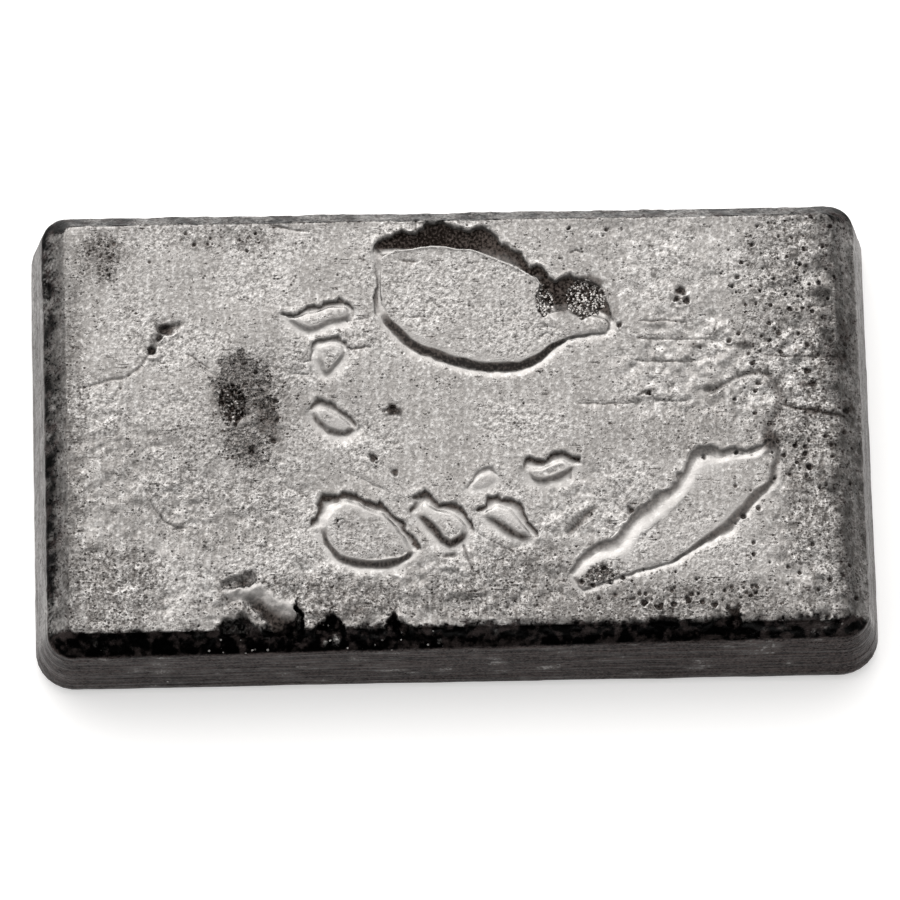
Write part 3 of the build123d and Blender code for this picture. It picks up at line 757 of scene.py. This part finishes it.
dome = ease(1.3 - oval(-20.8, -19.6, 2.6, 1.6))
soot_and_shade = np.maximum(soot_and_shade, np.where(upper, ease(below / 0.5) * (1 - on_tongue), 0))
soot_and_shade *= 1 - np.where(upper, 0.05 * dome, 0) - 0.55 * bare
# painted glints in the black of the burst edge
painted_glints = np.maximum(painted_glints, np.where(upper, 0.16 * burst_zone * ease((below - 0.4) / 0.6), 0))

# Bigger swells and dents, the walls' mould lines and the ripples of the poured face
swell = 0.05 * noise(points, 9, 14) + 0.030 * noise(points, 3.2, 15) + 0.014 * noise(points, 1.2, 16)
lines = noise(points * (0.05, 0.05, 3.1), 1, 17) + 0.6 * noise(points * (0.12, 0.12, 6), 1, 18)
rise = np.where(upper, swell, 0)
rise = np.where(wall, swell + 0.022 * lines * ease((z - 0.3) / 0.8), rise)
near_edge = sides * ease((z - SHOULDER + 0.8) / 0.6)
rise += near_edge * (0.05 * noise(points, 1.1, 32) + 0.03 * noise(points, 0.45, 33))
dent = ease(1 - np.hypot(x / (LENGTH / 2 - RIM), y / (WIDTH / 2 - RIM)) ** 2)
ripples = 0.035 * np.sin(5.0 * np.hypot(x * 0.6, y) + 2.5 * noise(points, 5, 19))
moved = points + normals * rise[:, None]
moved[upper, 2] -= sink[upper]
deep = DISH_DEPTH * dent + (ripples + 0.05 * noise(points, 2.5, 20)) * ease(dent * 6)
moved[under, 2] += np.clip(deep, 0, None)[under]

# The front shoulder runs slightly askew of the mould face
skew = np.interp(z, (0, SHOULDER, THICKNESS), (0, 1, 0)) * ease(-normals[:, 1] / 0.3)
moved[:, 1] += BEVEL_SKEW * skew * x / half_long * (y < -half_wide + 1)
moved[:, 2] = np.clip(moved[:, 2], 0, None)


def make_mesh(name):
    """The bar's mesh from the points and faces above, with the shares as attributes."""
    mesh = bpy.data.meshes.new(name)
    starts = np.concatenate([
        np.arange(len(quads)) * 4, len(quads) * 4 + np.arange(len(triangles)) * 3,
    ])
    corners = np.concatenate([quads.ravel(), triangles.ravel()])
    mesh.vertices.add(len(moved))
    mesh.vertices.foreach_set("co", (moved * MM).ravel())
    mesh.loops.add(len(corners))
    mesh.loops.foreach_set("vertex_index", corners)
    mesh.polygons.add(len(starts))
    mesh.polygons.foreach_set("loop_start", starts)
    mesh.update(calc_edges=True)
    for label, values in (
        ("dark", dark), ("melt_and_sheen", melt_and_sheen), ("grain", grain), ("soot_and_shade", soot_and_shade),
        ("pitted", pitted), ("painted_glint", painted_glints),
    ):
        layer = mesh.attributes.new(label, "FLOAT", "POINT")
        layer.data.foreach_set("value", np.clip(values, 0, 1).astype(np.float32))
    return mesh


bar = bpy.data.objects.new("silver_bar", make_mesh("silver_bar_fine"))
bpy.context.scene.collection.objects.link(bar)
thin = bar.modifiers.new("thin", "DECIMATE")
thin.ratio = MOST_TRIANGLES / (2 * len(quads) + len(triangles))
thin.use_collapse_triangulate = True
bpy.context.view_layer.update()
thinned = bar.evaluated_get(bpy.context.evaluated_depsgraph_get())
lighter = bpy.data.meshes.new_from_object(thinned)
bar.modifiers.clear()
bar.data = lighter
bar.data.name = "silver_bar"
bar.data.polygons.foreach_set("use_smooth", [True] * len(bar.data.polygons))
print("triangles", len(bar.data.polygons))

# The material: cast silver, pale where it is clean and brown-black where tarnish has settled and where
# shade is painted in
LOW_SILVER, HIGH_SILVER = (0.335, 0.322, 0.311, 1), (0.435, 0.422, 0.411, 1)
SHADED_SILVER = (0.24, 0.23, 0.22, 1)
CREST = (0.70, 0.69, 0.68, 1)       # the tops of the skin, rubbed bright
DIRT = (0.075, 0.068, 0.063, 1)     # what its hollows hold
STREAK = (0.60, 0.59, 0.58, 1)
# the smooth metal's colour, which also paints a sheen on the moats' rims and flanks
MELTED_WITH_SHEEN = (0.47, 0.458, 0.447, 1)    # smooth metal that froze last
PAINTED_GLINT = (0.66, 0.64, 0.62, 1)
# the tarnish colours also paint shade in the moats, the burst's hollow and down the tongue
TARNISH_AND_SHADE = (0.008, 0.006, 0.005, 1), (0.082, 0.068, 0.061, 1)
# the soot colours also paint shade on the front bevel and wall
BEVEL_SOOT_AND_SHADE = (0.001, 0.001, 0.001, 1), (0.030, 0.024, 0.023, 1)
WALL_SOOT_AND_SHADE = (0.007, 0.005, 0.005, 1), (0.050, 0.040, 0.038, 1)
BUMP_HEIGHT = 0.05                  # of one unit of relief
metal = bpy.data.materials.new("cast_silver")
metal.use_nodes = True
tree = metal.node_tree
shader = tree.nodes["Principled BSDF"]


def put(spot, value):
    """Sets a socket to a number, a tuple or another node's output."""
    if isinstance(value, bpy.types.NodeSocket):
        tree.links.new(value, spot)
    else:
        spot.default_value = value


def node(kind, **sockets):
    """Adds a node. A socket is given by its name, or by n and its number."""
    made = tree.nodes.new(kind)
    for name, value in sockets.items():
        put(made.inputs[int(name[1:]) if name[1:].isdigit() else name], value)
    return made


def math(kind, a, b=0.0, limit=False):
    """Adds a node that works on two numbers, and may limit the result to 0 to 1."""
    made = node("ShaderNodeMath", n0=a, n1=b)
    made.operation = kind
    made.use_clamp = limit
    return made.outputs[0]


def add(a, b, limit=False):
    return math("ADD", a, b, limit)


def minus(a, b, limit=False):
    return math("SUBTRACT", a, b, limit)


def times(a, b):
    return math("MULTIPLY", a, b)


def stretch(a, low, high, to_low=0.0, to_high=1.0):
    """Maps one range to another, smoothly and kept inside it."""
    made = node("ShaderNodeMapRange", n0=a, n1=low, n2=high, n3=to_low, n4=to_high)
    made.interpolation_type = "SMOOTHSTEP"
    return made.outputs[0]


def attribute(name):
    made = tree.nodes.new("ShaderNodeAttribute")
    made.attribute_name = name
    return made.outputs["Fac"]


def mix(share, a, b):
    """The first colour, with that share of the second."""
    made = tree.nodes.new("ShaderNodeMix")
    made.data_type = "RGBA"
    put(made.inputs[0], share)
    put(made.inputs[6], a)
    put(made.inputs[7], b)
    return made.outputs[2]


def placed(scale):
    """The object's coordinates in millimetres, times that scale."""
    return node("ShaderNodeMapping", Vector=coordinates.outputs["Object"],
                Scale=tuple(s / MM for s in scale)).outputs[0]


def cloud(scale, detail=3.0, rough=0.55):
    """Noise from 0 to 1 with that many bumps in a millimetre along X, Y and Z."""
    return node("ShaderNodeTexNoise", Vector=placed(scale), Scale=1.0, Detail=detail,
                Roughness=rough).outputs["Fac"]


def pebbles(*scale):
    return node("ShaderNodeTexVoronoi", Vector=placed(scale), Scale=1.0, Randomness=1.0)


coordinates = tree.nodes.new("ShaderNodeTexCoord")
height = node("ShaderNodeSeparateXYZ", Vector=placed((1, 1, 1))).outputs["Z"]
on_wall = stretch(height, SHOULDER + 0.15, SHOULDER - 0.15)
dark_share = attribute("dark")
melt_and_sheen_share = attribute("melt_and_sheen")
grain_share = attribute("grain")
textured = minus(1.0, melt_and_sheen_share, True)
soot_and_shade_share = attribute("soot_and_shade")
pitted_share = attribute("pitted")
painted_glint_share = attribute("painted_glint")

# Textures
fine = cloud((2.9, 2.2, 2.2), 0.0)
finer = cloud((5.4, 4.2, 4.2), 0.0)
finest = cloud((9.0, 7.4, 7.4), 0.0)
hairs = cloud((0.45, 3.6, 3.6), 1.0, 0.5)
patches = cloud((0.11, 0.14, 0.14), 3.0, 0.55)
blotches = cloud((1.0, 0.9, 0.9), 1.0, 0.5)
streaks = cloud((1.7, 0.10, 0.10), 2.0, 0.6)
grit = cloud((3.8, 3.4, 3.4), 2.0, 0.6)
lines_wall = cloud((0.09, 0.09, 3.6), 2.0, 0.6)
large_pores = pebbles(2.2, 2.6, 2.6)
small_pores = pebbles(4.6, 5.2, 5.0)
crumb = pebbles(4.4, 4.4, 4.4)
crowd = add(blotches, times(pitted_share, 0.17))
pores = times(stretch(large_pores.outputs["Distance"], 0.36, 0.14), stretch(crowd, 0.56, 0.64))
pinholes = times(stretch(small_pores.outputs["Distance"], 0.32, 0.14), stretch(crowd, 0.47, 0.58))
pores = add(pores, times(pinholes, 0.6), True)
cracks = times(stretch(hairs, 0.62, 0.72), stretch(blotches, 0.50, 0.62))
rough_part = stretch(patches, 0.42, 0.58, 0.55, 1.3)

# Relief: skin, pores, mould lines and grains
sand = add(times(fine, 0.8), times(finer, 0.55))
sand = add(sand, times(finest, 0.25))
skin = add(sand, times(blotches, 1.1))
skin = minus(skin, times(cracks, 0.7))
rough_skin = add(times(pitted_share, 0.5), times(rough_part, 0.88))
rough_skin = add(times(textured, rough_skin), 0.18)
rough_skin = times(rough_skin, minus(1.0, times(soot_and_shade_share, 0.5)))
relief = times(minus(skin, 1.35), rough_skin)
relief = minus(relief, times(pores, times(textured, 1.1)))
lines_level = minus(lines_wall, 0.5)
relief = add(relief, times(lines_level, times(on_wall, 1.4)))
crumb_level = minus(crumb.outputs["Distance"], 0.4)
relief = add(relief, times(crumb_level, times(grain_share, -2.0)))
bump = node("ShaderNodeBump", Strength=1.0, Distance=BUMP_HEIGHT * MM, Height=relief)

# Clean metal: brighter on crests, brighter where it melted and where a sheen is painted on, darker in
# hollows
pale = mix(stretch(patches, 0.35, 0.65), LOW_SILVER, HIGH_SILVER)
pale = mix(stretch(blotches, 0.6, 0.35, 0.0, 0.3), pale, SHADED_SILVER)
pale = mix(stretch(sand, 0.82, 1.15, 0.0, 0.6), pale, CREST)
valley = stretch(sand, 0.80, 0.58)
sandy = add(times(pitted_share, 0.2), times(rough_part, 0.46))
pale = mix(times(valley, times(textured, sandy)), pale, DIRT)
pale = mix(times(pitted_share, stretch(grit, 0.38, 0.54, 0.85, 0.0)), pale, DIRT)
pale = mix(times(pitted_share, stretch(blotches, 0.54, 0.38, 0.0, 0.5)), pale, DIRT)
pale = mix(stretch(streaks, 0.5, 0.7, 0.0, 0.25), pale, STREAK)
pale = mix(times(melt_and_sheen_share, 0.6), pale, MELTED_WITH_SHEEN)

# Tarnish in the pits, pores and cracks, and painted shade with tarnish in the moats, the burst's hollow
# and down the tongue
tarnish_and_shade = add(dark_share, times(pores, times(textured, 0.75)), True)
tarnish_and_shade = add(tarnish_and_shade, times(cracks, times(textured, 0.6)), True)
tarnish_and_shade_tone = mix(stretch(add(grit, times(lines_wall, 0.6)), 0.65, 0.95), *TARNISH_AND_SHADE)
colour = mix(tarnish_and_shade, pale, tarnish_and_shade_tone)

# Soot and painted shade, broken up where it is thin, and painted glints on the grains
soot_and_shade_tone = mix(stretch(add(times(grit, 0.3), blotches), 0.62, 0.85), *BEVEL_SOOT_AND_SHADE)
wall_grain = add(times(grit, 0.7), times(lines_wall, 0.6))
soot_and_shade_tone = mix(on_wall, soot_and_shade_tone, mix(stretch(wall_grain, 0.50, 0.80), *WALL_SOOT_AND_SHADE))
broken = add(times(minus(grit, 0.5), 1.5), times(times(lines_level, on_wall), 1.2))
thin_soot_and_shade = times(stretch(soot_and_shade_share, 0.0, 0.25), stretch(soot_and_shade_share, 1.0, 0.85))
colour = mix(add(soot_and_shade_share, times(broken, thin_soot_and_shade), True), colour, soot_and_shade_tone)
# painted glints: bright specks on some of the grains
chosen = minus(times(painted_glint_share, 0.6), crumb.outputs["Color"])
painted_glint_spots = times(stretch(crumb.outputs["Distance"], 0.60, 0.40), stretch(chosen, -0.04, 0.02))
colour = mix(painted_glint_spots, colour, PAINTED_GLINT)

dull = add(stretch(blotches, 0.3, 0.7, 0.36, 0.46), times(tarnish_and_shade, 0.15))
put(shader.inputs["Base Color"], colour)
put(shader.inputs["Normal"], bump.outputs[0])
put(shader.inputs["Metallic"], 1.0)
put(shader.inputs["Roughness"], dull)

bar.data.materials.clear()
bar.data.materials.append(metal)
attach(bar, "root")
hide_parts("ingot")

# A plain white floor
FLOOR_SIZE = 6.0
FLOOR_GLOW = 0.38          # like a light table
bpy.ops.mesh.primitive_plane_add(size=FLOOR_SIZE, location=(0, 0, 0))
floor = bpy.context.object
floor.name = "floor"
paint = bpy.data.materials.new("floor_paint")
paint.use_nodes = True
floor_shader = paint.node_tree.nodes["Principled BSDF"]
floor_shader.inputs["Base Color"].default_value = (0.92, 0.92, 0.92, 1)
floor_shader.inputs["Roughness"].default_value = 1.0
floor_shader.inputs["Specular IOR Level"].default_value = 0.0
floor_shader.inputs["Emission Color"].default_value = (1, 1, 1, 1)
floor_shader.inputs["Emission Strength"].default_value = FLOOR_GLOW
floor.data.materials.append(paint)
floor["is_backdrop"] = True

# Soft light from the back, dim at the front
scene = bpy.context.scene
world = bpy.data.worlds.new("studio")
scene.world = world
world.use_nodes = True
tree = world.node_tree      # the helpers above now add their nodes here
sky = tree.nodes["Background"]
toward = tree.nodes.new("ShaderNodeTexCoord").outputs["Generated"]
LOBES = [
    # direction, sharpness, strength
    ((-0.15, 0.87, 0.47), 4.0, 3.2),
    ((-0.85, 0.10, 0.52), 3.0, 1.1),
    ((0.85, 0.10, 0.52), 3.0, 0.9),
    ((0.0, -0.80, 0.60), 3.0, 0.15),
]
FILL = 0.05
total = None
for way, sharpness, strength in LOBES:
    way = np.array(way) / np.linalg.norm(way)
    dot = tree.nodes.new("ShaderNodeVectorMath")
    dot.operation = "DOT_PRODUCT"
    tree.links.new(toward, dot.inputs[0])
    dot.inputs[1].default_value = tuple(way)
    facing = math("POWER", math("MAXIMUM", dot.outputs["Value"], 0.0), sharpness)
    lobe = times(facing, strength)
    total = lobe if total is None else add(total, lobe)
tree.links.new(add(total, FILL), sky.inputs["Strength"])
sky.inputs["Color"].default_value = (1.0, 0.985, 0.97, 1)

# The camera
AZIMUTH, ELEVATION, ROLL = np.radians([-4.693, 69.121, 3.388])
CAMERA_DISTANCE = 1018.2
TARGET = np.array([-0.295, -1.068, 4.5])
LENS = 432.8
toward_camera = np.array([
    np.sin(AZIMUTH) * np.cos(ELEVATION), -np.cos(AZIMUTH) * np.cos(ELEVATION), np.sin(ELEVATION),
])
level = np.array([np.cos(AZIMUTH), np.sin(AZIMUTH), 0])
upright = np.cross(toward_camera, level)
right = np.cos(ROLL) * level + np.sin(ROLL) * upright
up = np.cos(ROLL) * upright - np.sin(ROLL) * level
camera = bpy.data.objects.new("camera", bpy.data.cameras.new("camera"))
scene.collection.objects.link(camera)
camera.matrix_world = Matrix([
    (*row, spot * MM) for row, spot in zip(
        np.stack([right, up, toward_camera], 1), TARGET + toward_camera * CAMERA_DISTANCE)
] + [(0, 0, 0, 1)])
camera.data.lens = LENS
camera.data.sensor_width = 36
camera.data.clip_start = 0.01
camera.data.clip_end = 20
scene.camera = camera
scene.view_settings.view_transform = "Standard"

low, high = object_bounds()
